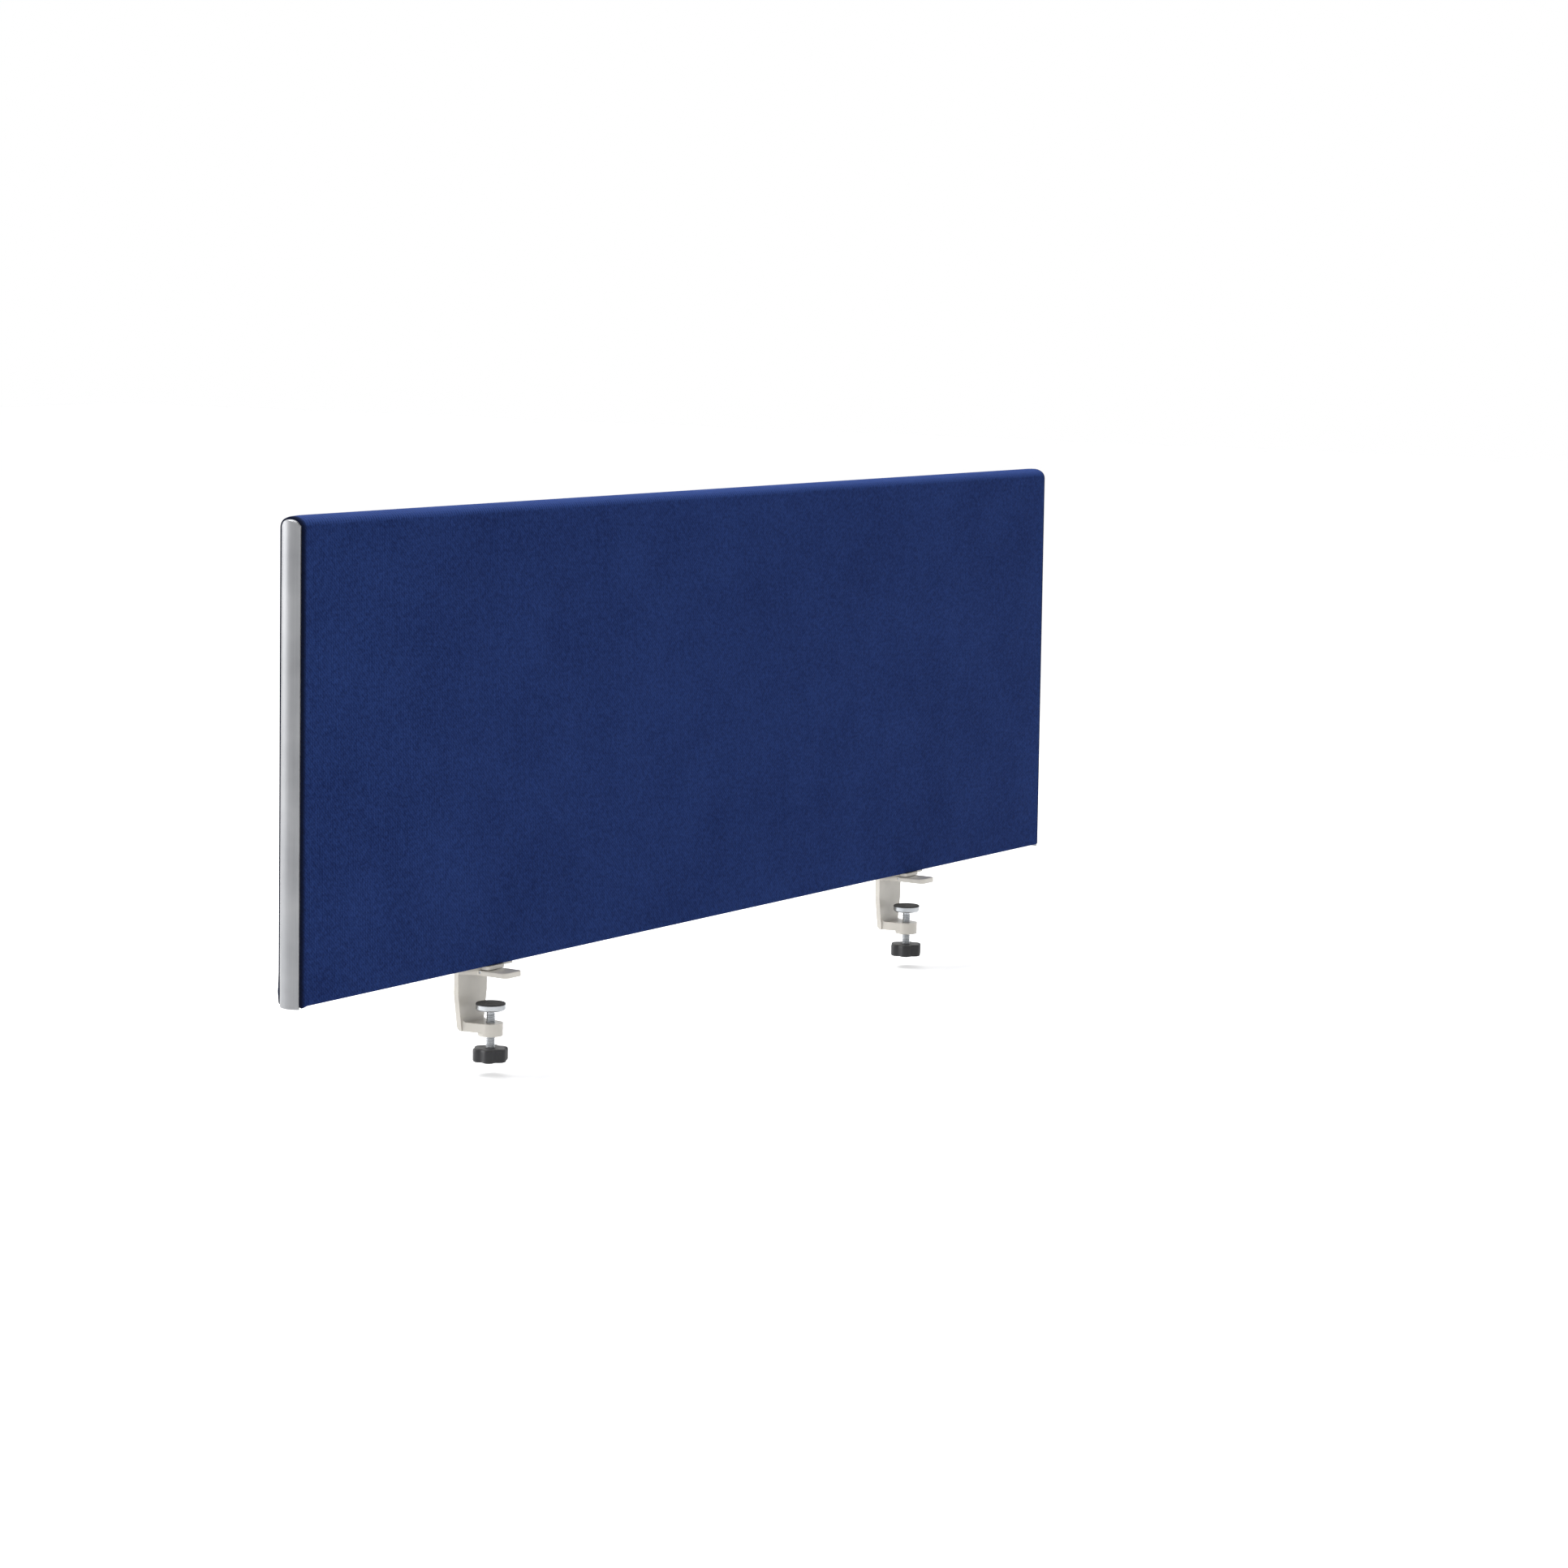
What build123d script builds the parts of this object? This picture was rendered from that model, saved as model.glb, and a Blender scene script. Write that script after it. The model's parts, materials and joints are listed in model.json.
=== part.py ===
from build123d import *
import os
from math import cos, radians, sin, sqrt

# A straight, fabric-covered privacy panel that stands along the edge of a desk
# on two screw clamps.  Millimetres, +Z up.  The origin is on the desk's top
# surface, at the desk's edge, at the middle of the panel's length: X runs along
# the panel, -Y is the sitter's side and Z = 0 is the desk top.

# ---- driving sizes: panel -------------------------------------------------
LENGTH = 1200.0            # over both end trims
HEIGHT = 400.0             # fabric's bottom edge to the top of its dome
THICKNESS = 25.0           # over the fabric
DESK_GAP = 8.5             # desk top to the fabric's bottom edge
DOME_RADIUS = 16.0         # roundness of the top edge, seen from the end
FABRIC = 0.8               # cloth thickness
FOAM = 2.0                 # wadding under the cloth
FOAM_SETBACK = 4.0         # the wadding stops short of the panel's ends
SKIN = 2.5                 # hardboard sheet on each side of the frame
RAIL = 36.0                # height of the top and bottom rails
STILE = 44.0               # width of the three uprights
INFILL_CLEARANCE = 0.5     # round each honeycomb block
SEAM = 1.0                 # gap between the two cloth edges under the panel
LIP = 8.0                  # cloth folded on to each end of the frame

# ---- end trims ------------------------------------------------------------
TRIM_WIDTH = 20.0
TRIM_SIDE = 1.2            # straight side wall before the crown starts
TRIM_CROWN = 3.8           # rise of the crown
TRIM_DROP = 2.0            # how far it hangs below the cloth
TRIM_TOP_GAP = 3.0         # how far its top stays under the cloth's dome
TRIM_DOME_RADIUS = 12.0    # roundness of its cut top end
TRIM_EDGE = 0.7            # softened edge of the cut ends
TONGUE = 2.4               # thickness of the tongue that holds the trim
TONGUE_DEPTH = 11.0
TONGUE_NOTCH = 14.0        # tongue stops short of the trim's ends
BARB = 0.25
BARB_LENGTH = 2.4
BARBS = 3
GROOVE_FIT = 0.3           # groove is wider than the tongue by this each side

# ---- fasteners ------------------------------------------------------------
DOWEL_RADIUS = 4.0
DOWEL_LENGTH = 28.0
DOWEL_SPACING = 12.0
DOWEL_FIT = 0.1
STAPLE_CROWN = 10.0
STAPLE_WIRE = 0.6
STAPLE_LEG = 6.0
STAPLE_PITCH = 80.0
STAPLE_ROW = 4.0           # each row's distance from the seam
SCREW_RADIUS = 2.5         # M5 plate screws and jaw bolts
SCREW_HEAD_RADIUS = 4.6
SCREW_HEAD = 2.5           # height of a countersunk head
SCREW_LENGTH = 12.0
SCREW_FIT = 0.06
INSERT_RADIUS = 4.0
INSERT_LENGTH = 13.0
SOCKET_RADIUS = 1.6        # hexagon socket in an M5 head, across its corners
SOCKET_DEPTH = 1.4

# ---- desk clamps ----------------------------------------------------------
CLAMP_SPACING = 680.0      # between the two clamps' middles
DESK = 25.0                # desk top gripped at rest
DESK_MIN = 15.0            # thinnest desk top
DESK_MAX = 35.0            # thickest desk top
JAW = 4.6                  # thickness of the jaw on the desk
JAW_WIDTH = 24.0
JAW_REACH = 21.0           # in front of the panel's front face
JAW_CORNER = 5.0
JAW_EDGE = 1.1
FLARE_LENGTH = 14.0        # the jaw widens to the spine over this length
SPINE_WIDTH = 40.0
SPINE = 5.0                # thickness of the back of the clamp
SPINE_STRAIGHT = 18.0      # height before the spine narrows
ARM_WIDTH = 30.0
ARM = 8.0                  # thickness of the lower arm
BOSS_RADIUS = 11.0
BOSS_DROP = 3.0
INNER_RADIUS = 4.0
RIB_WIDTH = 6.0
RIB = 3.5                  # how far it stands out behind the spine
RIB_ROOT = 1.0             # how deep it is rooted in the spine
GRIP = 1.0                 # rubber let into the jaw's underside
GRIP_MARGIN = 2.5
PLATE = 3.0                # steel plate under the panel
PLATE_PROUD = 1.5          # in front of the cloth
PLATE_WIDTH = 24.0
PLATE_SPAN = 68.0          # over the two wings
WING = 12.0
PLATE_CORNER = 3.0
PLATE_SCREWS = 52.0        # between the two plate screws
BOLT_SETBACK = 17.0        # jaw bolt, from the desk's edge
SPACER_RADIUS = 6.0
LOCK_RADIUS = 1.25         # grub screw in the jaw's flank
LOCK_RECESS = 0.5
LOCK_SOCKET = 0.6          # hexagon socket in the grub screw, across its corners
LOCK_GAP = 0.2
AXIS_SETBACK = 20.0        # clamp screw, from the desk's edge
THREAD_RADIUS = 4.0        # M8
THREAD_FIT = 0.06          # radial running clearance
THREAD_BEVEL = 0.5         # where the thread ends under the pad
PAD_RADIUS = 13.0
PAD = 5.0
PAD_BEVEL = 1.25
PAD_RUBBER = 1.5
PAD_CLEARANCE = 1.0        # pad to arm, on the thickest desk top
SPIGOT_RADIUS = 2.5
SPIGOT_FIT = 0.05
RING_RADIUS = 4.4
RING = 0.8
RING_ROOM = 0.3            # round the ring, inside the pad
KNOB_RADIUS = 16.0
KNOB = 12.0
KNOB_LOBES = 6
SCALLOP_RADIUS = 5.5
SCALLOP_OUT = 2.75         # a scallop's middle is this far outside the rim
KNOB_EDGE = 1.5
KNOB_SOCKET = 9.0          # how deep the screw sits in the knob
KNOB_CLEARANCE = 0.8       # knob to boss, on the thinnest desk top

# ---- worked-out places ----------------------------------------------------
HALF_LENGTH = LENGTH / 2
MIDDLE = -THICKNESS / 2                    # Y of the panel's middle plane
FRONT = -THICKNESS                         # Y of the sitter's face
BOTTOM = DESK_GAP
TOP = DESK_GAP + HEIGHT
COVER_END = HALF_LENGTH - TRIM_SIDE - TRIM_CROWN
CORE_END = COVER_END - FABRIC
CORE_HALF = THICKNESS / 2 - FABRIC - FOAM
CORE_BOTTOM = BOTTOM + FABRIC
CORE_TOP = TOP - FABRIC - FOAM
CORE_DOME = DOME_RADIUS - FABRIC - FOAM
RAIL_HALF = CORE_HALF - SKIN
SKIN_TOP = CORE_TOP - CORE_DOME + sqrt(CORE_DOME**2 - CORE_HALF**2)
UPRIGHT_BOTTOM = CORE_BOTTOM + RAIL
UPRIGHT_TOP = SKIN_TOP - RAIL
UPRIGHTS = {
    "left_stile": -CORE_END + STILE / 2,
    "middle_stile": 0.0,
    "right_stile": CORE_END - STILE / 2,
}
CLAMPS = {"left": -CLAMP_SPACING / 2, "right": CLAMP_SPACING / 2}
PLATE_BOTTOM = BOTTOM - PLATE
LOCK_HEIGHT = (GRIP + JAW) / 2             # Z of the grub screw's axis
ARM_TOP = -(DESK_MAX + PAD_RUBBER + PAD + PAD_CLEARANCE)
ARM_BOTTOM = ARM_TOP - ARM
BOSS_BOTTOM = ARM_BOTTOM - BOSS_DROP
PAD_TOP = -DESK
PAD_BOTTOM = PAD_TOP - PAD_RUBBER - PAD
KNOB_TOP = BOSS_BOTTOM - KNOB_CLEARANCE - (DESK - DESK_MIN)
LEAD_IN = 20.0             # spare length of cutting tools past a surface
NEAR = 0.5                 # how close an edge lies to the place it is picked by


def write(node, shape):
    """Write one node; several solids in it are a group of like pieces."""
    shape.label = node
    export_step(shape, f"parts/{node}.step")


def group(solids):
    """Keep like pieces as separate solids in one node."""
    return Compound(children=list(solids))


def block(x0, x1, y0, y1, z0, z1):
    """A box between two corners."""
    size = Box(x1 - x0, y1 - y0, z1 - z0)
    return Pos((x0 + x1) / 2, (y0 + y1) / 2, (z0 + z1) / 2) * size


def post(x, y, z0, z1, radius):
    """An upright cylinder."""
    return Pos(x, y, (z0 + z1) / 2) * Cylinder(radius, z1 - z0)


def domed_bar(x0, x1, half_width, bottom, top, radius):
    """A bar along X whose section is upright, with an arched top."""
    shoulder = top - radius + sqrt(radius**2 - half_width**2)
    near, far = MIDDLE - half_width, MIDDLE + half_width
    sides = Polyline((near, shoulder), (near, bottom), (far, bottom), (far, shoulder))
    arch = ThreePointArc((far, shoulder), (MIDDLE, top), (near, shoulder))
    section = make_face(sides + arch)
    start = Plane(origin=(x0, 0, 0), x_dir=(0, 1, 0), z_dir=(1, 0, 0))
    return extrude(start * section, amount=x1 - x0)


def inset_bar(inset, end, bottom):
    """The panel's outline taken in by inset all round its top and sides."""
    return domed_bar(
        -end, end, THICKNESS / 2 - inset, bottom, TOP - inset, DOME_RADIUS - inset
    )


def mirrored_x(shape):
    return mirror(shape, about=Plane.YZ)


# ---- fasteners that others make room for ----------------------------------
def countersunk(x, y, head_z, length):
    """A countersunk screw that points up, its flat socketed head at head_z."""
    head = Pos(x, y, head_z + SCREW_HEAD / 2) * Cone(
        SCREW_HEAD_RADIUS, SCREW_RADIUS, SCREW_HEAD
    )
    screw = head + post(x, y, head_z, head_z + length, SCREW_RADIUS)
    hexagon = Pos(x, y, head_z) * RegularPolygon(SOCKET_RADIUS, 6)
    return screw - extrude(hexagon, amount=SOCKET_DEPTH)


def screw_room(x, y, head_z, length):
    """The countersunk hole that such a screw sits in."""
    head = Pos(x, y, head_z + SCREW_HEAD / 2) * Cone(
        SCREW_HEAD_RADIUS + SCREW_FIT, SCREW_RADIUS + SCREW_FIT, SCREW_HEAD
    )
    return head + post(x, y, head_z, head_z + length, SCREW_RADIUS + SCREW_FIT)


def plate_screw_places():
    return [
        (middle + side * PLATE_SCREWS / 2, MIDDLE)
        for middle in CLAMPS.values()
        for side in (-1, 1)
    ]


def dowel_places():
    """(x, z) of each dowel's middle: two in each rail-to-upright joint."""
    places = []
    for node, x in UPRIGHTS.items():
        # the end uprights' dowels keep clear of the trim's groove
        inward = {"left_stile": 1, "middle_stile": 0, "right_stile": -1}[node]
        centre = x + inward * DOWEL_SPACING / 2
        for z in (UPRIGHT_BOTTOM, UPRIGHT_TOP):
            for side in (-1, 1):
                places.append((centre + side * DOWEL_SPACING / 2, z))
    return places


def dowel_set(radius, length):
    return [
        post(x, MIDDLE, z - length / 2, z + length / 2, radius)
        for x, z in dowel_places()
    ]


def staple_places():
    """(x, y) of each staple's crown, two rows, clear of the clamp plates."""
    count = int(CORE_END // STAPLE_PITCH)
    free = PLATE_SPAN / 2 + STAPLE_CROWN
    return [
        (step * STAPLE_PITCH, MIDDLE + row * STAPLE_ROW)
        for step in range(-count, count + 1)
        for row in (-1, 1)
        if all(abs(step * STAPLE_PITCH - middle) > free for middle in CLAMPS.values())
    ]


def staple(x, y):
    """One wire staple, its crown under the cloth and its legs in the rail."""
    half, wire = STAPLE_CROWN / 2, STAPLE_WIRE / 2
    crown = block(x - half, x + half, y - wire, y + wire, BOTTOM - STAPLE_WIRE, BOTTOM)
    for side in (-1, 1):
        leg = x + side * (half - wire)
        crown = crown + block(
            leg - wire, leg + wire, y - wire, y + wire, BOTTOM, BOTTOM + STAPLE_LEG
        )
    return crown


def insert_posts(radius, extra):
    top = CORE_BOTTOM + INSERT_LENGTH + extra
    return [post(x, y, CORE_BOTTOM, top, radius) for x, y in plate_screw_places()]


def trim_grooves():
    """The slots in the frame's two ends that the trims' tongues push into."""
    half = TONGUE / 2 + GROOVE_FIT
    bottom, top = tongue_span()
    right = block(
        COVER_END - TONGUE_DEPTH - GROOVE_FIT,
        COVER_END + LEAD_IN,
        MIDDLE - half,
        MIDDLE + half,
        bottom - GROOVE_FIT,
        top + GROOVE_FIT,
    )
    return [right, mirrored_x(right)]


def tongue_span():
    """Lowest and highest point of a tongue."""
    bottom = BOTTOM - TRIM_DROP + TONGUE_NOTCH
    return bottom, TOP - TRIM_TOP_GAP - TONGUE_NOTCH


# ---- the panel's core -----------------------------------------------------
def top_rail():
    """Rebated rail: a tenon between the skins and a domed head above them."""
    rail = domed_bar(-CORE_END, CORE_END, CORE_HALF, UPRIGHT_TOP, CORE_TOP, CORE_DOME)
    for y0 in (MIDDLE - CORE_HALF, MIDDLE + RAIL_HALF):
        rail = rail - block(-CORE_END, CORE_END, y0, y0 + SKIN, UPRIGHT_TOP, SKIN_TOP)
    for tool in dowel_set(DOWEL_RADIUS + DOWEL_FIT, DOWEL_LENGTH + 2 * DOWEL_FIT):
        rail = rail - tool
    for tool in trim_grooves():
        rail = rail - tool
    return rail


def bottom_rail():
    rail = block(
        -CORE_END,
        CORE_END,
        MIDDLE - RAIL_HALF,
        MIDDLE + RAIL_HALF,
        CORE_BOTTOM,
        UPRIGHT_BOTTOM,
    )
    for tool in dowel_set(DOWEL_RADIUS + DOWEL_FIT, DOWEL_LENGTH + 2 * DOWEL_FIT):
        rail = rail - tool
    for tool in trim_grooves():
        rail = rail - tool
    for tool in insert_posts(INSERT_RADIUS, SCREW_FIT):
        rail = rail - tool
    for x, y in staple_places():
        rail = rail - staple(x, y)
    return rail


def upright(x):
    stile = block(
        x - STILE / 2,
        x + STILE / 2,
        MIDDLE - RAIL_HALF,
        MIDDLE + RAIL_HALF,
        UPRIGHT_BOTTOM,
        UPRIGHT_TOP,
    )
    for tool in dowel_set(DOWEL_RADIUS + DOWEL_FIT, DOWEL_LENGTH + 2 * DOWEL_FIT):
        stile = stile - tool
    for tool in trim_grooves():
        stile = stile - tool
    return stile


def infill(x0, x1):
    """Paper honeycomb between two uprights."""
    return block(
        x0 + INFILL_CLEARANCE,
        x1 - INFILL_CLEARANCE,
        MIDDLE - RAIL_HALF,
        MIDDLE + RAIL_HALF,
        UPRIGHT_BOTTOM + INFILL_CLEARANCE,
        UPRIGHT_TOP - INFILL_CLEARANCE,
    )


def skin(y0):
    return block(-CORE_END, CORE_END, y0, y0 + SKIN, CORE_BOTTOM, SKIN_TOP)


# ---- soft goods -----------------------------------------------------------
def foam_wrap():
    """Wadding folded over the core like a hairpin, open underneath."""
    end = COVER_END - FOAM_SETBACK
    outside = inset_bar(FABRIC, end, CORE_BOTTOM)
    return outside - inset_bar(FABRIC + FOAM, end + LEAD_IN, CORE_BOTTOM - LEAD_IN)


def fabric_cover():
    """The cloth: round the core, meeting under it, folded on to both ends."""
    cover = inset_bar(0, COVER_END, BOTTOM) - inset_bar(FABRIC, CORE_END, CORE_BOTTOM)
    window_top = TOP - DOME_RADIUS
    cover = cover - block(
        -HALF_LENGTH,
        HALF_LENGTH,
        FRONT + LIP,
        -LIP,
        BOTTOM + LIP,
        window_top,
    )
    cover = cover - block(
        -CORE_END,
        CORE_END,
        MIDDLE - SEAM / 2,
        MIDDLE + SEAM / 2,
        BOTTOM - FABRIC,
        CORE_BOTTOM,
    )
    for x, y in plate_screw_places():
        cover = cover - post(x, y, BOTTOM - FABRIC, CORE_BOTTOM, INSERT_RADIUS)
    for x, y in staple_places():
        cover = cover - staple(x, y)
    return cover


# ---- end trim -------------------------------------------------------------
def end_trim():
    """Right-hand trim: a crowned cap with a barbed tongue behind it."""
    half = TRIM_WIDTH / 2
    near, far = MIDDLE - half, MIDDLE + half
    side = COVER_END + TRIM_SIDE
    back = Polyline((side, near), (COVER_END, near), (COVER_END, far), (side, far))
    crown = ThreePointArc((side, far), (HALF_LENGTH, MIDDLE), (side, near))
    bottom = BOTTOM - TRIM_DROP
    section = Pos(0, 0, bottom) * make_face(back + crown)
    cap = extrude(section, amount=HEIGHT)
    cap = cap & domed_bar(
        COVER_END,
        HALF_LENGTH,
        half,
        bottom,
        TOP - TRIM_TOP_GAP,
        TRIM_DOME_RADIUS,
    )
    cap = chamfer(cap.edges().filter_by(is_cut_end), TRIM_EDGE)
    low, high = tongue_span()
    tongue = block(
        COVER_END - TONGUE_DEPTH,
        COVER_END,
        MIDDLE - TONGUE / 2,
        MIDDLE + TONGUE / 2,
        low,
        high,
    )
    for step in range(BARBS):
        tip = COVER_END - TONGUE_DEPTH + step * (BARB_LENGTH + BARB)
        root, crest = TONGUE / 2, TONGUE / 2 + BARB
        outline = Polyline(
            (tip, MIDDLE - root),
            (tip + BARB_LENGTH, MIDDLE - crest),
            (tip + BARB_LENGTH, MIDDLE + crest),
            (tip, MIDDLE + root),
            close=True,
        )
        tongue = tongue + extrude(Pos(0, 0, low) * make_face(outline), amount=high - low)
    return cap + tongue


def is_cut_end(edge):
    """True for the crown's edge at the trim's bottom and at its arched top."""
    box = edge.bounding_box()
    clear_of_back = box.max.X > COVER_END + TRIM_SIDE + TRIM_CROWN / 2
    across = box.size.Y > TRIM_WIDTH / 2
    return clear_of_back and across


# ---- clamp ----------------------------------------------------------------
def mount_plate(middle):
    """T-shaped steel plate screwed to the panel's underside."""
    depth = THICKNESS + PLATE_PROUD - FABRIC
    tab = RectangleRounded(PLATE_WIDTH, depth, PLATE_CORNER)
    wing = RectangleRounded(PLATE_SPAN, WING, PLATE_CORNER)
    outline = Pos(0, -FABRIC - depth / 2) * tab + Pos(0, MIDDLE) * wing
    plate = extrude(Pos(middle, 0, PLATE_BOTTOM) * outline, amount=PLATE)
    for x, y in plate_screw_places():
        if abs(x - middle) < PLATE_SPAN:
            plate = plate - screw_room(x, y, PLATE_BOTTOM, SCREW_LENGTH)
    return plate - post(
        middle,
        -BOLT_SETBACK,
        PLATE_BOTTOM - PLATE,
        BOTTOM + PLATE,
        SCREW_RADIUS + SCREW_FIT,
    )


def clamp_frame(middle):
    """One-piece clamp body: jaw on the desk, spine behind it, arm under it."""
    half_jaw, half_spine = JAW_WIDTH / 2, SPINE_WIDTH / 2
    nose = FRONT - JAW_REACH
    plan = Polyline(
        (-half_jaw, nose),
        (half_jaw, nose),
        (half_jaw, -FLARE_LENGTH),
        (half_spine, 0),
        (half_spine, SPINE),
        (-half_spine, SPINE),
        (-half_spine, 0),
        (-half_jaw, -FLARE_LENGTH),
        close=True,
    )
    plan = make_face(plan)
    plan = fillet(plan.vertices().sort_by(Axis.Y)[:2], JAW_CORNER)
    jaw = extrude(plan, amount=JAW)

    half_arm = ARM_WIDTH / 2
    back = Polyline(
        (-half_spine, 0),
        (half_spine, 0),
        (half_spine, -SPINE_STRAIGHT),
        (half_arm, ARM_BOTTOM),
        (-half_arm, ARM_BOTTOM),
        (-half_spine, -SPINE_STRAIGHT),
        close=True,
    )
    upright_plane = Plane(origin=(0, SPINE, 0), x_dir=(1, 0, 0), z_dir=(0, -1, 0))
    spine = extrude(upright_plane * make_face(back), amount=SPINE)

    under = Polyline(
        (BOSS_RADIUS, -AXIS_SETBACK),
        (half_arm, SPINE),
        (-half_arm, SPINE),
        (-BOSS_RADIUS, -AXIS_SETBACK),
    )
    tip = (0, -AXIS_SETBACK - BOSS_RADIUS)
    end = ThreePointArc(
        (-BOSS_RADIUS, -AXIS_SETBACK), tip, (BOSS_RADIUS, -AXIS_SETBACK)
    )
    arm = extrude(Pos(0, 0, ARM_BOTTOM) * make_face(under + end), amount=ARM)
    boss = post(0, -AXIS_SETBACK, BOSS_BOTTOM, ARM_TOP, BOSS_RADIUS)
    body = jaw + spine + arm + boss

    top_edges = body.faces().sort_by(Axis.Z)[-1].edges()
    body = fillet(top_edges, JAW_EDGE)
    inner = body.edges().filter_by(Axis.X).filter_by_position(Axis.Y, -NEAR, NEAR)
    inner = inner.filter_by_position(Axis.Z, ARM_TOP - NEAR, ARM_TOP + NEAR)
    body = fillet(inner, INNER_RADIUS)
    outer = body.edges().filter_by(Axis.X)
    outer = outer.filter_by_position(Axis.Y, SPINE - NEAR, SPINE + NEAR)
    outer = outer.filter_by_position(Axis.Z, ARM_BOTTOM - NEAR, ARM_BOTTOM + NEAR)
    body = fillet(outer, INNER_RADIUS)

    rib = Polyline(
        (SPINE - RIB_ROOT, -SPINE_STRAIGHT / 2),
        (SPINE, -SPINE_STRAIGHT / 2),
        (SPINE + RIB, -SPINE_STRAIGHT),
        (SPINE + RIB, ARM_TOP + INNER_RADIUS),
        (SPINE, ARM_TOP - INNER_RADIUS / 2),
        (SPINE - RIB_ROOT, ARM_TOP - INNER_RADIUS / 2),
        close=True,
    )
    side = Plane(origin=(-RIB_WIDTH / 2, 0, 0), x_dir=(0, 1, 0), z_dir=(1, 0, 0))
    body = body + extrude(side * make_face(rib), amount=RIB_WIDTH)

    body = body - grip_block(0, 0)
    body = body - post(
        0, -AXIS_SETBACK, BOSS_BOTTOM, ARM_TOP, THREAD_RADIUS + THREAD_FIT
    )
    body = body - screw_room(0, -BOLT_SETBACK, GRIP, JAW)
    body = body - lock_bar(-half_jaw - LEAD_IN, LOCK_RADIUS + SCREW_FIT, LOCK_GAP / 2)
    return Pos(middle, 0, 0) * body


def grip_block(middle, margin):
    """The jaw's rubber, margin smaller all round than its recess."""
    half = JAW_WIDTH / 2 - GRIP_MARGIN - margin
    front = FRONT - JAW_REACH + GRIP_MARGIN + margin
    pad = block(-half, half, front, -GRIP_MARGIN - margin, 0, GRIP)
    pad = fillet(pad.edges().filter_by(Axis.Z), JAW_CORNER - GRIP_MARGIN)
    return Pos(middle, 0, 0) * pad


def lock_bar(start, radius, inward):
    """A bar along X from start to just short of the jaw bolt's head."""
    end = -SCREW_HEAD_RADIUS - LOCK_GAP + inward
    bar = Rot(0, 90, 0) * Cylinder(radius, end - start)
    return Pos((start + end) / 2, -BOLT_SETBACK, LOCK_HEIGHT) * bar


def lock_screw(middle):
    start = -JAW_WIDTH / 2 + LOCK_RECESS
    screw = lock_bar(start, LOCK_RADIUS, 0)
    face = Plane(
        origin=(start, -BOLT_SETBACK, LOCK_HEIGHT), x_dir=(0, 1, 0), z_dir=(1, 0, 0)
    )
    socket = extrude(face * RegularPolygon(LOCK_SOCKET, 6), amount=SOCKET_DEPTH)
    return Pos(middle, 0, 0) * (screw - socket)


def spacer(middle):
    """The washer that keeps the plate just clear of the jaw."""
    ring = post(middle, -BOLT_SETBACK, JAW, PLATE_BOTTOM, SPACER_RADIUS)
    return ring - post(
        middle, -BOLT_SETBACK, JAW, PLATE_BOTTOM, SCREW_RADIUS + SCREW_FIT
    )


def jaw_bolt(middle):
    length = BOTTOM - GRIP - STAPLE_WIRE
    return countersunk(middle, -BOLT_SETBACK, GRIP, length)


def pressure_pad(middle):
    """Swivelling disc: the screw's spigot passes its web and is held by a ring."""
    top = PAD_TOP - PAD_RUBBER
    disc = post(middle, -AXIS_SETBACK, PAD_BOTTOM, top, PAD_RADIUS)
    disc = chamfer(disc.edges().sort_by(Axis.Z)[0], PAD_BEVEL)
    web_top = PAD_BOTTOM + PAD / 2
    disc = disc - post(
        middle, -AXIS_SETBACK, PAD_BOTTOM, top, SPIGOT_RADIUS + SPIGOT_FIT
    )
    return disc - post(middle, -AXIS_SETBACK, web_top, top, RING_RADIUS + RING_ROOM)


def pad_rubber(middle):
    top = post(middle, -AXIS_SETBACK, PAD_TOP - PAD_RUBBER, PAD_TOP, PAD_RADIUS)
    return fillet(top.edges().sort_by(Axis.Z)[-1], PAD_RUBBER / 2)


def retaining_ring(middle):
    low = PAD_BOTTOM + PAD / 2 + SPIGOT_FIT
    ring = post(middle, -AXIS_SETBACK, low, low + RING, RING_RADIUS)
    return ring - post(middle, -AXIS_SETBACK, low, low + RING, SPIGOT_RADIUS)


def clamp_screw(middle):
    shoulder = PAD_BOTTOM - SPIGOT_FIT
    spigot_top = PAD_TOP - PAD_RUBBER - RING_ROOM
    shank = post(
        middle, -AXIS_SETBACK, KNOB_TOP - KNOB_SOCKET, shoulder, THREAD_RADIUS
    )
    shank = chamfer(shank.edges().sort_by(Axis.Z)[-1], THREAD_BEVEL)
    return shank + post(middle, -AXIS_SETBACK, shoulder, spigot_top, SPIGOT_RADIUS)


def knob(middle):
    """Lobed hand knob pressed on to the screw's lower end."""
    body = post(0, 0, KNOB_TOP - KNOB, KNOB_TOP, KNOB_RADIUS)
    for lobe in range(KNOB_LOBES):
        angle = radians(360 / KNOB_LOBES * lobe)
        reach = KNOB_RADIUS + SCALLOP_OUT
        body = body - post(
            reach * cos(angle),
            reach * sin(angle),
            KNOB_TOP - KNOB,
            KNOB_TOP,
            SCALLOP_RADIUS,
        )
    rims = body.faces().sort_by(Axis.Z)
    body = fillet(rims[0].edges() + rims[-1].edges(), KNOB_EDGE)
    body = body - post(0, 0, KNOB_TOP - KNOB_SOCKET, KNOB_TOP, THREAD_RADIUS)
    return Pos(middle, -AXIS_SETBACK, 0) * body


# ---- build and write ------------------------------------------------------
os.makedirs("parts", exist_ok=True)

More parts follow.
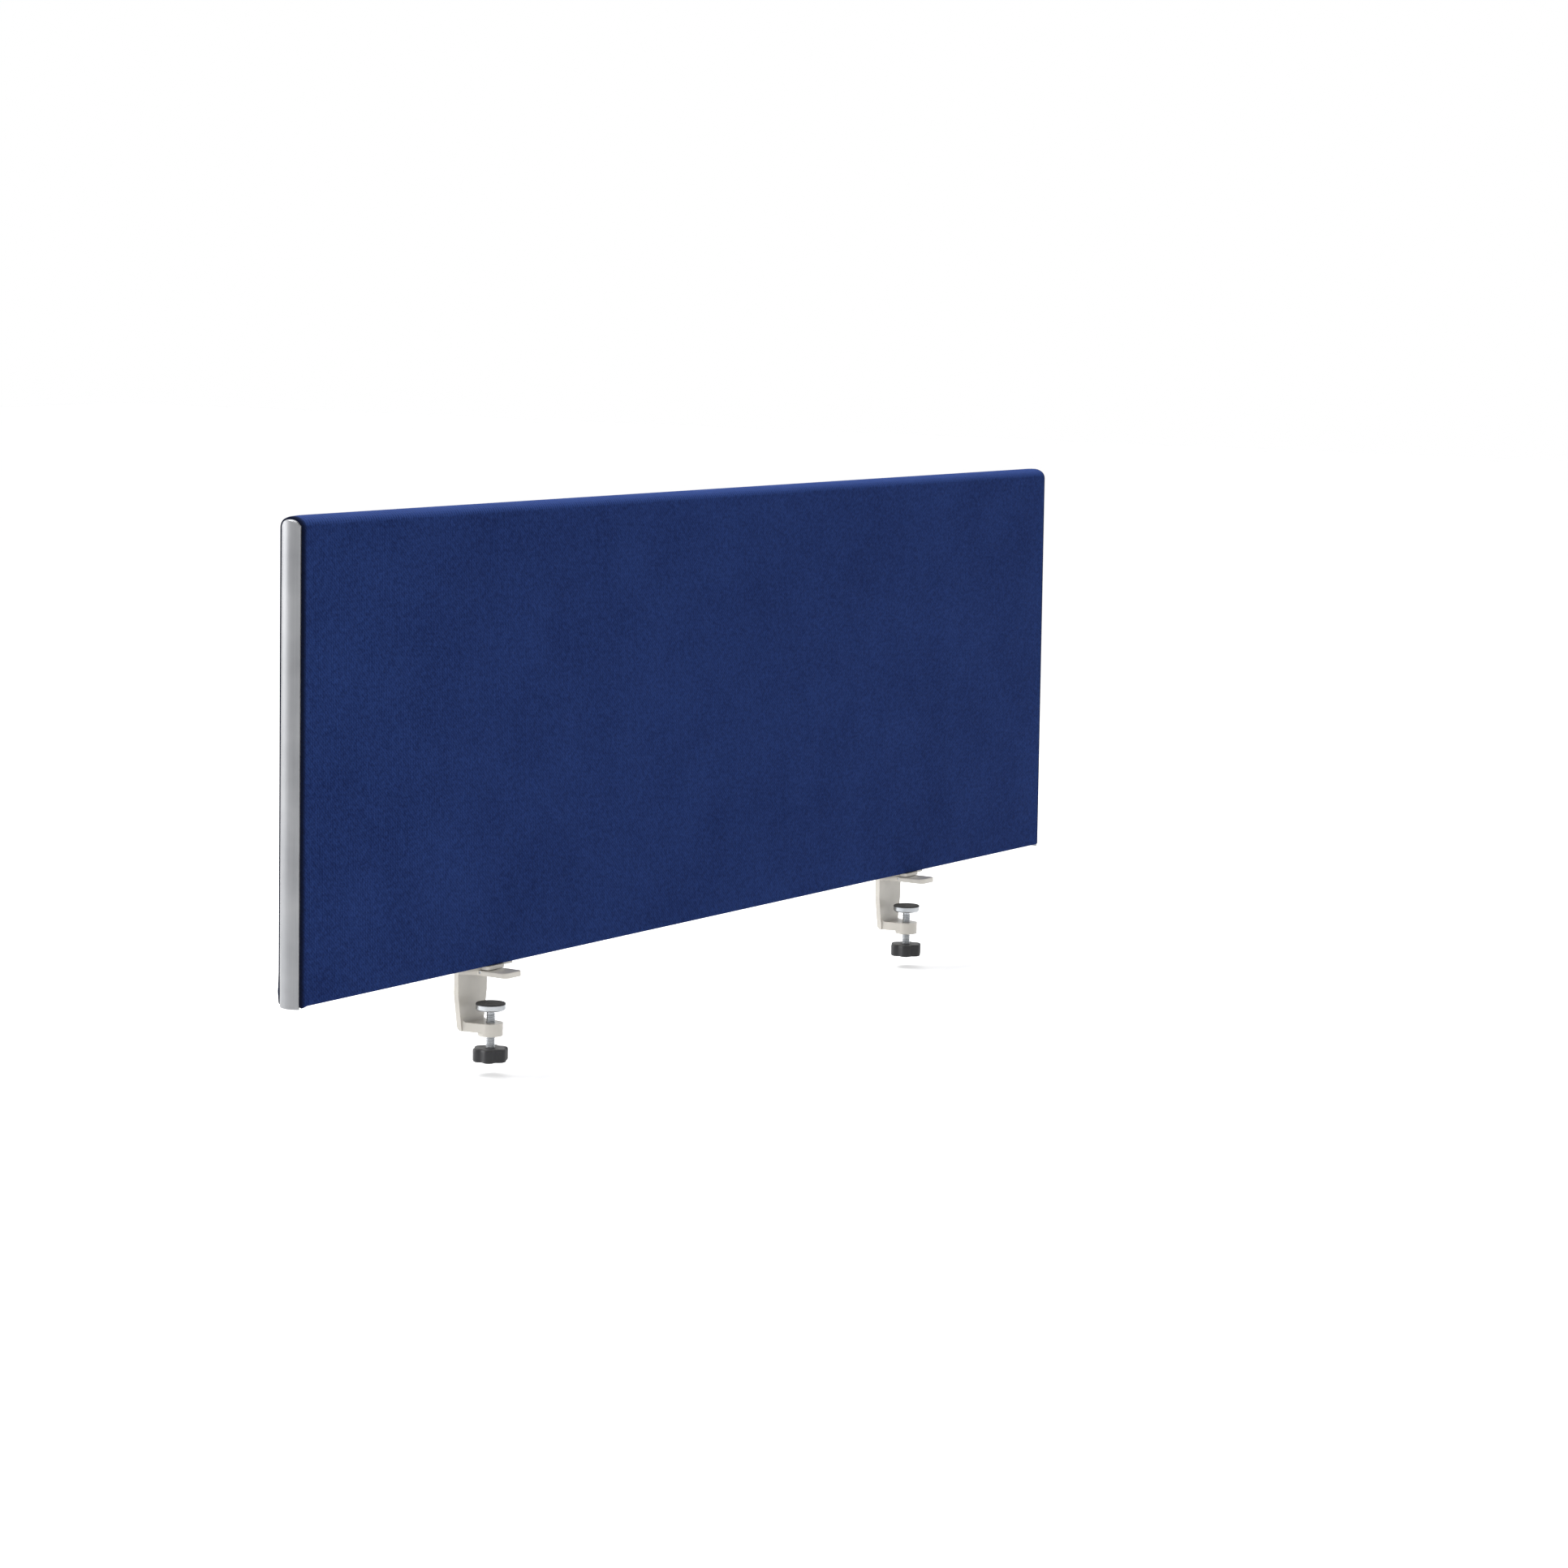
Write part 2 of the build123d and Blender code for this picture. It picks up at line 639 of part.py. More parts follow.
write("top_rail", top_rail())
write("bottom_rail", bottom_rail())
for node, x in UPRIGHTS.items():
    write(node, upright(x))
inner_left = UPRIGHTS["left_stile"] + STILE / 2
write("left_infill", infill(inner_left, -STILE / 2))
write("right_infill", infill(STILE / 2, -inner_left))
write("front_skin", skin(MIDDLE - CORE_HALF))
write("back_skin", skin(MIDDLE + RAIL_HALF))
write("frame_dowels", group(dowel_set(DOWEL_RADIUS, DOWEL_LENGTH)))
write("foam_wrap", foam_wrap())
write("fabric_cover", fabric_cover())
write("cover_staples", group(staple(x, y) for x, y in staple_places()))
right_trim = end_trim()
write("right_trim", right_trim)
write("left_trim", mirrored_x(right_trim))

plate_room = [
    screw_room(x, y, PLATE_BOTTOM, SCREW_LENGTH + SCREW_FIT)
    for x, y in plate_screw_places()
]
inserts = [
    whole - room for whole, room in zip(insert_posts(INSERT_RADIUS, 0), plate_room)
]
write("threaded_inserts", group(inserts))
plate_screws = [
    countersunk(x, y, PLATE_BOTTOM, SCREW_LENGTH) for x, y in plate_screw_places()
]
write("plate_screws", group(plate_screws))
write("jaw_bolts", group(jaw_bolt(middle) for middle in CLAMPS.values()))
write("jaw_spacers", group(spacer(middle) for middle in CLAMPS.values()))
write("lock_screws", group(lock_screw(middle) for middle in CLAMPS.values()))

for side, middle in CLAMPS.items():
    write(f"{side}_plate", mount_plate(middle))
    write(f"{side}_clamp_frame", clamp_frame(middle))
    write(f"{side}_jaw_rubber", grip_block(middle, SCREW_FIT))
    write(f"{side}_pressure_pad", pressure_pad(middle))
    write(f"{side}_pad_rubber", pad_rubber(middle))
    write(f"{side}_retaining_ring", retaining_ring(middle))
    write(f"{side}_clamp_screw", clamp_screw(middle))
    write(f"{side}_knob", knob(middle))
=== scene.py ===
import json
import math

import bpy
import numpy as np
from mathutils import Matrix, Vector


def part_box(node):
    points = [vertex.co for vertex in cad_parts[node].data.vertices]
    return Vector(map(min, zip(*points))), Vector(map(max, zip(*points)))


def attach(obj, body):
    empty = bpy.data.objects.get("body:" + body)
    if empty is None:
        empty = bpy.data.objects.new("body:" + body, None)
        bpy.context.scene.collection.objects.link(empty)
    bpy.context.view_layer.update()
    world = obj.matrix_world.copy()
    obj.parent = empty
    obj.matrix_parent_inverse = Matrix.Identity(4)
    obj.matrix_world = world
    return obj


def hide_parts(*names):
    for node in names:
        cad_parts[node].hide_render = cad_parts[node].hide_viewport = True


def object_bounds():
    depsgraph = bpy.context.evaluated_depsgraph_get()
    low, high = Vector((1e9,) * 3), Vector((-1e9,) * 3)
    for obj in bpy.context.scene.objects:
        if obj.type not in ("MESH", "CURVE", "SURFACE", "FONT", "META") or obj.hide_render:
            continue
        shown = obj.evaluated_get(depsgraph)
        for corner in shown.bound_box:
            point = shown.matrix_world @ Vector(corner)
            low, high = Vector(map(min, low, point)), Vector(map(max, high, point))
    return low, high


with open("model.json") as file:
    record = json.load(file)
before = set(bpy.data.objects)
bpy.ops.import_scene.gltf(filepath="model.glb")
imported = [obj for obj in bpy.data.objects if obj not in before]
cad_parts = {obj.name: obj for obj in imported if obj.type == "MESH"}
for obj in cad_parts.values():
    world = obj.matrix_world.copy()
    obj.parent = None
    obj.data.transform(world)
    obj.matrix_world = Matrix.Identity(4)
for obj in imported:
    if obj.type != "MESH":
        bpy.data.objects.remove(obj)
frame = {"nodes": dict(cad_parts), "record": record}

# %% [markdown]
# # A desk privacy panel
#
# The object is a straight screen for the edge of a desk: a light wooden core,
# padded and wrapped in blue cloth, closed at both ends by silver trims and held
# by two screw clamps.  The measured parts come ready made from the CAD model.
# This lesson adds what CAD can't show: cloth with a weave, soft wadding, cut
# screw threads, moulded knobs, and a finish for every piece.

MM = 0.001                 # the scene is in metres, a maker thinks in millimetres
CIRCLE = 2 * math.pi       # one whole turn, in radians
cad_box = [list(corner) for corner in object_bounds()]
print("CAD box", [[round(value, 4) for value in corner] for corner in cad_box])

# %% Sizes read from the frame
cover_low, cover_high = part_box("fabric_cover")
BOTTOM, TOP = cover_low.z, cover_high.z
END = cover_high.x                          # the cloth stops here, at the trims
MIDDLE = (cover_low.y + cover_high.y) / 2   # the panel's middle plane
HALF = (cover_high.y - cover_low.y) / 2
DOME = 16 * MM                              # radius of the arched top edge
print(f"cloth {2 * END:.3f} x {2 * HALF:.3f} x {TOP - BOTTOM:.3f} m")

# %% [markdown]
# ## The camera
#
# A camera is an object like any other, so its place and its three axes can be
# worked out from a compass direction and two small tilts.  The lens is a long
# one, which keeps the panel's edges nearly parallel.  The camera itself tilts
# down only a little, and a shift of the picture on the sensor does the rest:
# that keeps upright edges almost upright.

# %% The camera
CAMERA_PLACE = Vector((-2.986, -2.087, 0.6045))
HEADING = math.radians(56.26)               # from +Y towards +X
TILT_DOWN = math.radians(4.71)
ROLL = math.radians(0.846)
LENS = 89.69                                # focal length in mm
SENSOR = 36                                 # width of the sensor in mm
LENS_SHIFT = -0.117                         # as a share of that width
FARTHEST = 50                               # nothing beyond this many metres shows


def camera_axes(heading, tilt, roll):
    """The camera's right, up and backward directions as one rotation."""
    ahead = Vector((math.sin(heading), math.cos(heading), 0))
    right = Vector((math.cos(heading), -math.sin(heading), 0))
    down = Vector((0, 0, -1))
    down, ahead = (
        math.cos(tilt) * down - math.sin(tilt) * ahead,
        math.sin(tilt) * down + math.cos(tilt) * ahead,
    )
    right, down = (
        math.cos(roll) * right - math.sin(roll) * down,
        math.sin(roll) * right + math.cos(roll) * down,
    )
    return Matrix((right, -down, -ahead)).transposed()


lens = bpy.data.cameras.new("camera")
lens.lens = LENS
lens.sensor_width = SENSOR
lens.shift_y = LENS_SHIFT
lens.clip_end = FARTHEST
camera = bpy.data.objects.new("camera", lens)
bpy.context.scene.collection.objects.link(camera)
turn = camera_axes(HEADING, TILT_DOWN, ROLL).to_4x4()
camera.matrix_world = Matrix.Translation(CAMERA_PLACE) @ turn
bpy.context.scene.camera = camera
print("camera stands", round(CAMERA_PLACE.length, 2), "m from the origin")

# %% [markdown]
# ## Small helpers for shader nodes
#
# A material is a drawing made of nodes and wires.  A few helpers keep that
# drawing short.  One places a node, and the others are short names for what is
# placed most often: arithmetic, a weighted sum, a stretched band of values, a
# mix of two colours, a squeezed pattern and soft patches.  Each takes numbers or
# other nodes' outputs.

# %% Node helpers


def place(tree, kind, inputs=None, **settings):
    """Put a node in a tree, set it up and wire or fill its inputs."""
    node = tree.nodes.new("ShaderNode" + kind)
    for name, value in settings.items():
        setattr(node, name, value)
    for name, value in (inputs or {}).items():
        if isinstance(value, bpy.types.NodeSocket):
            tree.links.new(value, node.inputs[name])
        else:
            node.inputs[name].default_value = value
    return node


def work(tree, operation, *terms):
    """One step of arithmetic."""
    return place(tree, "Math", dict(enumerate(terms)), operation=operation).outputs[0]


def weighted(tree, first, *others):
    """A sum: the first value, then each other value times its weight."""
    total = first
    for value, weight in others:
        total = work(tree, "ADD", total, work(tree, "MULTIPLY", value, weight))
    return total


def band(tree, value, low, high, new_low=0.0, new_high=1.0):
    """Stretch low..high of a value to new_low..new_high and hold it inside."""
    ends = {1: low, 2: high, 3: new_low, 4: new_high}
    return place(tree, "MapRange", {0: value, **ends}).outputs[0]


def colours(tree, amount, first, second):
    """From the first colour to the second as amount goes from 0 to 1."""
    inputs = {0: amount, 6: first, 7: second}
    return place(tree, "Mix", inputs, data_type="RGBA").outputs[2]


def scaled(tree, where, x, y, z):
    """Squeeze or stretch the pattern space along each axis."""
    inputs = {0: where, 1: (x, y, z)}
    return place(tree, "VectorMath", inputs, operation="MULTIPLY").outputs[0]


def patches(tree, where, scale, detail=2.0):
    """Smooth random patches, about scale of them to the metre."""
    inputs = {"Vector": where, "Scale": scale, "Detail": detail}
    return place(tree, "TexNoise", inputs).outputs[0]


def paint(red, green, blue):
    """A colour given as on a colour card, 0 to 255, for a shader's input."""
    def linear(value):
        """From the sRGB curve of a colour card to an amount of light."""
        value = value / 255
        return value / 12.92 if value <= 0.04045 else ((value + 0.055) / 1.055) ** 2.4
    return (linear(red), linear(green), linear(blue), 1.0)


print("blue cloth on a screen is", [round(v, 3) for v in paint(33, 48, 96)])

# %% [markdown]
# ## Effects that several finishes share
#
# Dust, worn edges and fine drawn lines show on many materials.  Each is built
# once as a node group with named inputs and outputs, and every material places
# it with its own values.  A group gives only masks and numbers: the shader that
# uses them stays in the material.

# %% An empty node group with named sockets


def new_group(name, inputs, outputs):
    """A node group; returns its tree, what comes in and what goes out."""
    tree = bpy.data.node_groups.new(name, "ShaderNodeTree")
    for title, value in inputs.items():
        kind = "NodeSocketFloat" if isinstance(value, float) else "NodeSocketVector"
        socket = tree.interface.new_socket(title, in_out="INPUT", socket_type=kind)
        socket.default_value = value
    for title in outputs:
        tree.interface.new_socket(
            title, in_out="OUTPUT", socket_type="NodeSocketFloat"
        )
    comes_in = tree.nodes.new("NodeGroupInput").outputs
    goes_out = tree.nodes.new("NodeGroupOutput").inputs
    return tree, comes_in, goes_out


def use(tree, group, **values):
    """Place a group in a material; values are its inputs by name."""
    node = tree.nodes.new("ShaderNodeGroup")
    node.node_tree = group
    for name, value in values.items():
        socket = node.inputs[name.replace("_", " ")]
        if isinstance(value, bpy.types.NodeSocket):
            tree.links.new(value, socket)
        else:
            socket.default_value = value
    return node.outputs


# %% Worn edges: where a rounded normal leaves the true one
WORN, comes_in, goes_out = new_group(
    "worn edges", {"Where": (0, 0, 0), "Reach": 0.001, "Wear": 0.5}, ["Mask"]
)
rounded = place(WORN, "Bevel", {"Radius": comes_in["Reach"]}, samples=4)
true_normal = place(WORN, "NewGeometry").outputs["Normal"]
agree = place(
    WORN, "VectorMath", {0: rounded.outputs[0], 1: true_normal}, operation="DOT_PRODUCT"
)
# on a flat place the two agree fully, on an edge they agree less
corner = band(WORN, agree.outputs["Value"], 0.99, 0.80)
rubbed = band(WORN, patches(WORN, comes_in["Where"], 350.0, 4.0), 0.42, 0.62)
both = work(WORN, "MULTIPLY", corner, rubbed)
WORN.links.new(work(WORN, "MULTIPLY", both, comes_in["Wear"]), goes_out["Mask"])
print("group", WORN.name)

# %% Dust: it settles on what faces up
DUST, comes_in, goes_out = new_group(
    "dust", {"Where": (0, 0, 0), "Amount": 0.3}, ["Mask"]
)
facing = place(
    DUST, "SeparateXYZ", {0: place(DUST, "NewGeometry").outputs["Normal"]}
).outputs["Z"]
upward = band(DUST, facing, 0.35, 1.0)
specks = band(DUST, patches(DUST, comes_in["Where"], 900.0, 5.0), 0.50, 0.72)
veil = patches(DUST, comes_in["Where"], 60.0, 3.0)
settled = work(DUST, "MULTIPLY", upward, work(DUST, "ADD", specks, veil))
amount = work(DUST, "MULTIPLY", settled, comes_in["Amount"])
DUST.links.new(amount, goes_out["Mask"])
print("group", DUST.name)

# %% Surface grain: a fine height and a slow cloudiness in one place
GRAIN, comes_in, goes_out = new_group(
    "surface grain", {"Where": (0, 0, 0), "Grains": 900.0}, ["Height", "Clouds"]
)
fine = patches(GRAIN, comes_in["Where"], comes_in["Grains"], 3.0)
slow = patches(GRAIN, comes_in["Where"], 25.0, 3.0)
GRAIN.links.new(fine, goes_out["Height"])
GRAIN.links.new(slow, goes_out["Clouds"])
print("group", GRAIN.name)

# %% Drawn lines: noise pulled out along one axis, as a die or a brush leaves it
LINES, comes_in, goes_out = new_group(
    "drawn lines", {"Where": (0, 0, 0), "Pull": (1, 1, 1)}, ["Height"]
)
pulled = place(
    LINES,
    "VectorMath",
    {0: comes_in["Where"], 1: comes_in["Pull"]},
    operation="MULTIPLY",
).outputs[0]
LINES.links.new(patches(LINES, pulled, 1.0, 3.0), goes_out["Height"])
print("group", LINES.name)

# %% Wood grain: rings seen along the plank, and short pores
WOOD, comes_in, goes_out = new_group(
    "wood grain", {"Where": (0, 0, 0), "Rings": 180.0}, ["Late wood", "Pores"]
)
bent = scaled(WOOD, comes_in["Where"], 0.6, 12.0, 8.0)
drift = patches(WOOD, bent, 2.2, 2.0)
height = place(WOOD, "SeparateXYZ", {0: comes_in["Where"]}).outputs["Z"]
ring = work(WOOD, "MULTIPLY", height, comes_in["Rings"])
ring = weighted(WOOD, ring, (drift, 9.0))
wave = work(WOOD, "SINE", work(WOOD, "MULTIPLY", ring, CIRCLE))
WOOD.links.new(band(WOOD, wave, -0.6, 1.0), goes_out["Late wood"])
pores = patches(WOOD, scaled(WOOD, comes_in["Where"], 90.0, 2500.0, 2500.0), 1.0)
WOOD.links.new(band(WOOD, pores, 0.56, 0.70), goes_out["Pores"])
print("group", WOOD.name)

# %% [markdown]
# ## Finishes
#
# Each finish starts as one shader.  What is the same all over the surface, such
# as how much sheen a cloth has, is set on the shader itself.  What changes over
# the surface, such as colour, roughness and small bumps, comes in by wires.
# All patterns are in the object's own metres, so a rib of cloth or a grain of
# plastic keeps its true size wherever it is.

# %% A new finish


def new_finish(name, **steady):
    """A material; returns it with its tree, its shader and its pattern space."""
    material = bpy.data.materials.new(name)
    material.use_nodes = True
    tree = material.node_tree
    shader = tree.nodes["Principled BSDF"]
    for title, value in steady.items():
        shader.inputs[title.replace("_", " ")].default_value = value
    where = place(tree, "TexCoord").outputs["Object"]
    return material, tree, shader, where


def dress(tree, shader, colour, roughness, height, depth):
    """Wire up what changes over the surface; depth is in metres."""
    bump = place(tree, "Bump", {"Height": height, "Distance": depth, "Strength": 1.0})
    tree.links.new(colour, shader.inputs["Base Color"])
    tree.links.new(roughness, shader.inputs["Roughness"])
    tree.links.new(bump.outputs[0], shader.inputs["Normal"])


FINISH = {}

# %% [markdown]
# ### The blue cloth
#
# The cloth is a crepe: fine upright ribs, every second one a little lighter,
# crossed by a tighter weft, with slightly uneven yarn.  Over the arch the lighter
# ribs are painted lighter still, as a painted sheen for the light on the top, and
# the cloth is painted near black where it is folded against the trims, as a
# painted shade.  A weave could follow a UV map.  Here it follows the object's own
# space, because the panel is flat and true to size, and over the arched top the
# up-and-down coordinate is bent round the arch, so the weave runs on without
# stretching.

# %% Blue cloth
RIB = 1.6 * MM                              # one rib of the weave
WEFT = 1.1 * MM                             # one thread across it
WANDER = 0.4 * MM                           # how far a rib strays from its line
RELIEF = 0.16 * MM                          # height of the weave
SHOULDER = TOP - DOME + math.sqrt(DOME**2 - HALF**2)
ARCH_SHEEN_HEIGHTS = (SHOULDER - 2 * MM, SHOULDER + 1 * MM)    # heights where the arch gets its painted sheen
FOLD_SHADE_PLACES = (END - 4.5 * MM, END - 0.5 * MM)  # places where the folds get a painted shade


def round_the_arch(tree, y, z):
    """Height on the cut cloth: z on the faces, arc length over the arch."""
    across = work(tree, "ABSOLUTE", work(tree, "SUBTRACT", y, MIDDLE))
    above = work(tree, "SUBTRACT", z, TOP - DOME)
    angle = work(tree, "ARCTAN2", across, above)
    lean = math.asin(HALF / DOME)
    arc = work(tree, "MULTIPLY", work(tree, "SUBTRACT", lean, angle), DOME)
    arc = work(tree, "ADD", arc, SHOULDER)
    over = work(tree, "GREATER_THAN", z, SHOULDER)
    raised = work(tree, "MULTIPLY", over, work(tree, "SUBTRACT", arc, z))
    return work(tree, "ADD", z, raised)


def ripple(tree, distance, period, phase=0.0):
    """A wave from 0 to 1 along a distance in metres."""
    turns = work(tree, "MULTIPLY", distance, CIRCLE / period)
    wave = work(tree, "SINE", work(tree, "ADD", turns, phase))
    return band(tree, wave, -1.0, 1.0)


FINISH["blue_cloth"], tree, shader, where = new_finish(
    "blue crepe cloth",
    Sheen_Weight=0.02,
    Sheen_Roughness=0.5,
    Sheen_Tint=paint(110, 135, 205),
    Specular_IOR_Level=0.03,
)
axes = place(tree, "SeparateXYZ", {0: where}).outputs
# thick places in the yarn are long and upright, and push the ribs aside
slub = patches(tree, scaled(tree, where, 500.0, 500.0, 60.0), 1.0, 2.0)
wander = work(tree, "MULTIPLY", work(tree, "SUBTRACT", slub, 0.5), WANDER)
along = work(tree, "ADD", axes["X"], wander)
up = round_the_arch(tree, axes["Y"], axes["Z"])
rib = ripple(tree, along, RIB)
pair = ripple(tree, along, 2 * RIB)
cross = ripple(tree, up, WEFT, work(tree, "MULTIPLY", pair, math.pi))
twill = ripple(tree, work(tree, "ADD", along, up), 2 * RIB)
yarn = patches(tree, where, 1400.0, 3.0)
height = work(tree, "MULTIPLY", rib, work(tree, "ADD", 0.6, cross))
height = weighted(tree, height, (yarn, 0.7))
# the dye is uneven in small spots and, more faintly, over whole areas
mottle = patches(tree, where, 420.0, 3.0)
cloud = patches(tree, where, 14.0, 3.0)
# painted sheen: the weave's lighter ribs are painted lighter still over the arch, for the
# light that falls on the top
on_arch = band(tree, axes["Z"], *ARCH_SHEEN_HEIGHTS)
arch_sheen = work(tree, "MULTIPLY", pair, work(tree, "MULTIPLY", on_arch, 0.8))
tone = weighted(
    tree, arch_sheen,
    (pair, 0.06), (twill, 0.16), (height, 0.12), (mottle, 0.95), (cloud, 0.30),
)
dark_yarn, light_yarn = paint(13, 26, 64), paint(35, 54, 104)
colour = colours(tree, band(tree, tone, 0.53, 1.23), dark_yarn, light_yarn)
dusty = use(tree, DUST, Where=where, Amount=0.06)["Mask"]
colour = colours(tree, dusty, colour, paint(92, 108, 160))
# painted shade: the cloth turns near black in the folds beside the trims, where shade falls
from_middle = work(tree, "ABSOLUTE", axes["X"])
fold_shade = band(tree, from_middle, *FOLD_SHADE_PLACES, 0.0, 0.9)
colour = colours(tree, fold_shade, colour, paint(8, 10, 20))
dress(tree, shader, colour, band(tree, mottle, 0.3, 0.7, 0.82, 0.95), height, RELIEF)
print("one rib every", RIB, "m, a lighter one every", 2 * RIB, "m")

# %% [markdown]
# ### Silver, enamel, rubber, plastic and steel
#
# The end trims are drawn aluminium with a satin anodised skin: almost smooth,
# with faint lines along their length.  The clamps are cast and enamelled in a
# warm white, which has the slight waviness of baked paint and shows a darker
# tone where corners are rubbed.  Rubber and moulded plastic are dark and rough,
# and differ in how coarse their grain is.

# %% Silver end trim
FINISH["silver_trim"], tree, shader, where = new_finish("satin silver", Metallic=1.0)
lines = use(tree, LINES, Where=where, Pull=(2600.0, 2600.0, 14.0))["Height"]
grain = use(tree, GRAIN, Where=where, Grains=2200.0)
rubbed = use(tree, WORN, Where=where, Reach=0.6 * MM, Wear=0.5)["Mask"]
mix = weighted(tree, grain["Clouds"], (lines, 0.6))
shade = band(tree, mix, 0.5, 1.1)
colour = colours(tree, shade, paint(124, 125, 128), paint(144, 145, 147))
colour = colours(tree, rubbed, colour, paint(205, 205, 207))
height = weighted(tree, lines, (grain["Height"], 0.5))
dress(tree, shader, colour, band(tree, mix, 0.5, 1.1, 0.38, 0.46), height, 0.012 * MM)

# %% Ivory enamel
FINISH["ivory_enamel"], tree, shader, where = new_finish(
    "ivory enamel", Coat_Weight=0.35, Coat_Roughness=0.22, Specular_IOR_Level=0.5
)
grain = use(tree, GRAIN, Where=where, Grains=420.0)
rubbed = use(tree, WORN, Where=where, Reach=0.9 * MM, Wear=0.75)["Mask"]
dusty = use(tree, DUST, Where=where, Amount=0.12)["Mask"]
shade = band(tree, grain["Clouds"], 0.35, 0.65)
colour = colours(tree, shade, paint(168, 164, 156), paint(180, 176, 168))
colour = colours(tree, rubbed, colour, paint(122, 106, 90))
colour = colours(tree, dusty, colour, paint(205, 198, 186))
rough = band(tree, grain["Height"], 0.3, 0.7, 0.34, 0.44)
dress(tree, shader, colour, rough, grain["Height"], 0.05 * MM)

# %% Rubber and plastic


def moulded(name, slot, low, high, grains, depth, rough, wear, dust):
    """A dark moulded skin with its own grain, wear on edges and some dust."""
    FINISH[slot], tree, shader, where = new_finish(name, Specular_IOR_Level=0.4)
    grain = use(tree, GRAIN, Where=where, Grains=grains)
    rubbed = use(tree, WORN, Where=where, Reach=0.8 * MM, Wear=wear)["Mask"]
    dusty = use(tree, DUST, Where=where, Amount=dust)["Mask"]
    colour = colours(tree, band(tree, grain["Clouds"], 0.3, 0.7), low, high)
    colour = colours(tree, rubbed, colour, paint(96, 96, 100))
    colour = colours(tree, dusty, colour, paint(128, 126, 122))
    roughness = band(tree, grain["Height"], 0.3, 0.7, rough - 0.06, rough + 0.06)
    dress(tree, shader, colour, roughness, grain["Height"], depth)
    print(slot, "has", grains, "grains to the metre")


moulded(
    "matt grip rubber", "grip_rubber", paint(34, 34, 36), paint(48, 47, 47),
    1500.0, 0.06 * MM, 0.78, 0.25, 0.22,
)
moulded(
    "textured black plastic", "black_plastic", paint(20, 20, 22), paint(30, 30, 33),
    2600.0, 0.05 * MM, 0.46, 0.45, 0.12,
)

# %% Metals with a turned, drawn or plated skin


def bare_metal(name, slot, low, high, pull, rough, depth):
    """A metal whose tool marks run the way pull stretches them."""
    FINISH[slot], tree, shader, where = new_finish(name, Metallic=1.0)
    lines = use(tree, LINES, Where=where, Pull=pull)["Height"]
    grain = use(tree, GRAIN, Where=where, Grains=1600.0)
    rubbed = use(tree, WORN, Where=where, Reach=0.3 * MM, Wear=0.6)["Mask"]
    mix = weighted(tree, grain["Clouds"], (lines, 0.6))
    colour = colours(tree, band(tree, mix, 0.5, 1.1), low, high)
    colour = colours(tree, rubbed, colour, paint(232, 232, 230))
    height = weighted(tree, lines, (grain["Height"], 0.6))
    roughness = band(tree, mix, 0.5, 1.1, rough - 0.06, rough + 0.08)
    dress(tree, shader, colour, roughness, height, depth)
    print(slot, "is", name)


bare_metal(
    "zinc plated steel", "zinc_steel", paint(150, 154, 158), paint(196, 198, 200),
    (300.0, 300.0, 2200.0), 0.34, 0.015 * MM,
)
bare_metal(
    "phosphated spring steel", "spring_steel", paint(58, 58, 60), paint(84, 84, 86),
    (900.0, 900.0, 2600.0), 0.52, 0.020 * MM,
)
bare_metal(
    "turned brass", "brass", paint(176, 140, 78), paint(206, 172, 104),
    (200.0, 200.0, 3200.0), 0.30, 0.015 * MM,
)

# %% [markdown]
# ### What the cloth hides
#
# The core is a joiner's frame of softwood rails and uprights, pegged with beech
# dowels, filled with paper honeycomb and faced with hardboard.  None of it shows
# on a finished panel, but a part that is opened up or cut through should still
# look right, so each layer gets its own finish.

# %% Softwood and beech


def timber(name, slot, early, late, rings, rough):
    """Planed wood with growth rings and pores."""
    FINISH[slot], tree, shader, where = new_finish(name, Specular_IOR_Level=0.3)
    wood = use(tree, WOOD, Where=where, Rings=rings)
    grain = use(tree, GRAIN, Where=where, Grains=1200.0)
    colour = colours(tree, wood["Late wood"], early, late)
    darker = work(tree, "MULTIPLY", wood["Pores"], 0.35)
    colour = colours(tree, darker, colour, paint(96, 66, 40))
    height = work(tree, "SUBTRACT", grain["Height"], wood["Pores"])
    roughness = band(tree, grain["Clouds"], 0.3, 0.7, rough, rough + 0.1)
    dress(tree, shader, colour, roughness, height, 0.06 * MM)
    print(slot, "has", rings, "rings to the metre")


timber("planed softwood", "softwood", paint(222, 192, 148), paint(190, 148, 98), 160.0, 0.58)
timber("turned beech", "beech", paint(216, 182, 142), paint(196, 156, 114), 420.0, 0.50)

# %% Hardboard, paper honeycomb and wadding
FINISH["hardboard"], tree, shader, where = new_finish("smooth hardboard")
grain = use(tree, GRAIN, Where=where, Grains=700.0)
fibres = use(tree, LINES, Where=where, Pull=(1800.0, 900.0, 1800.0))["Height"]
mix = weighted(tree, grain["Clouds"], (fibres, 0.7))
colour = colours(tree, band(tree, mix, 0.5, 1.2), paint(92, 64, 42), paint(132, 98, 66))
dress(tree, shader, colour, band(tree, mix, 0.5, 1.2, 0.5, 0.7), fibres, 0.05 * MM)

FINISH["honeycomb"], tree, shader, where = new_finish("paper honeycomb")
cells = place(
    tree,
    "TexVoronoi",
    {"Vector": scaled(tree, where, 1.0, 0.0, 1.0), "Scale": 70.0, "Randomness": 0.25},
    feature="DISTANCE_TO_EDGE",
).outputs["Distance"]
walls = band(tree, cells, 0.04, 0.10, 1.0, 0.0)
colour = colours(tree, walls, paint(86, 62, 40), paint(190, 160, 120))
grain = use(tree, GRAIN, Where=where, Grains=900.0)
cloudy = work(tree, "MULTIPLY", grain["Clouds"], 0.3)
colour = colours(tree, cloudy, colour, paint(150, 122, 88))
dress(tree, shader, colour, band(tree, walls, 0.0, 1.0, 0.9, 0.75), walls, 1.5 * MM)

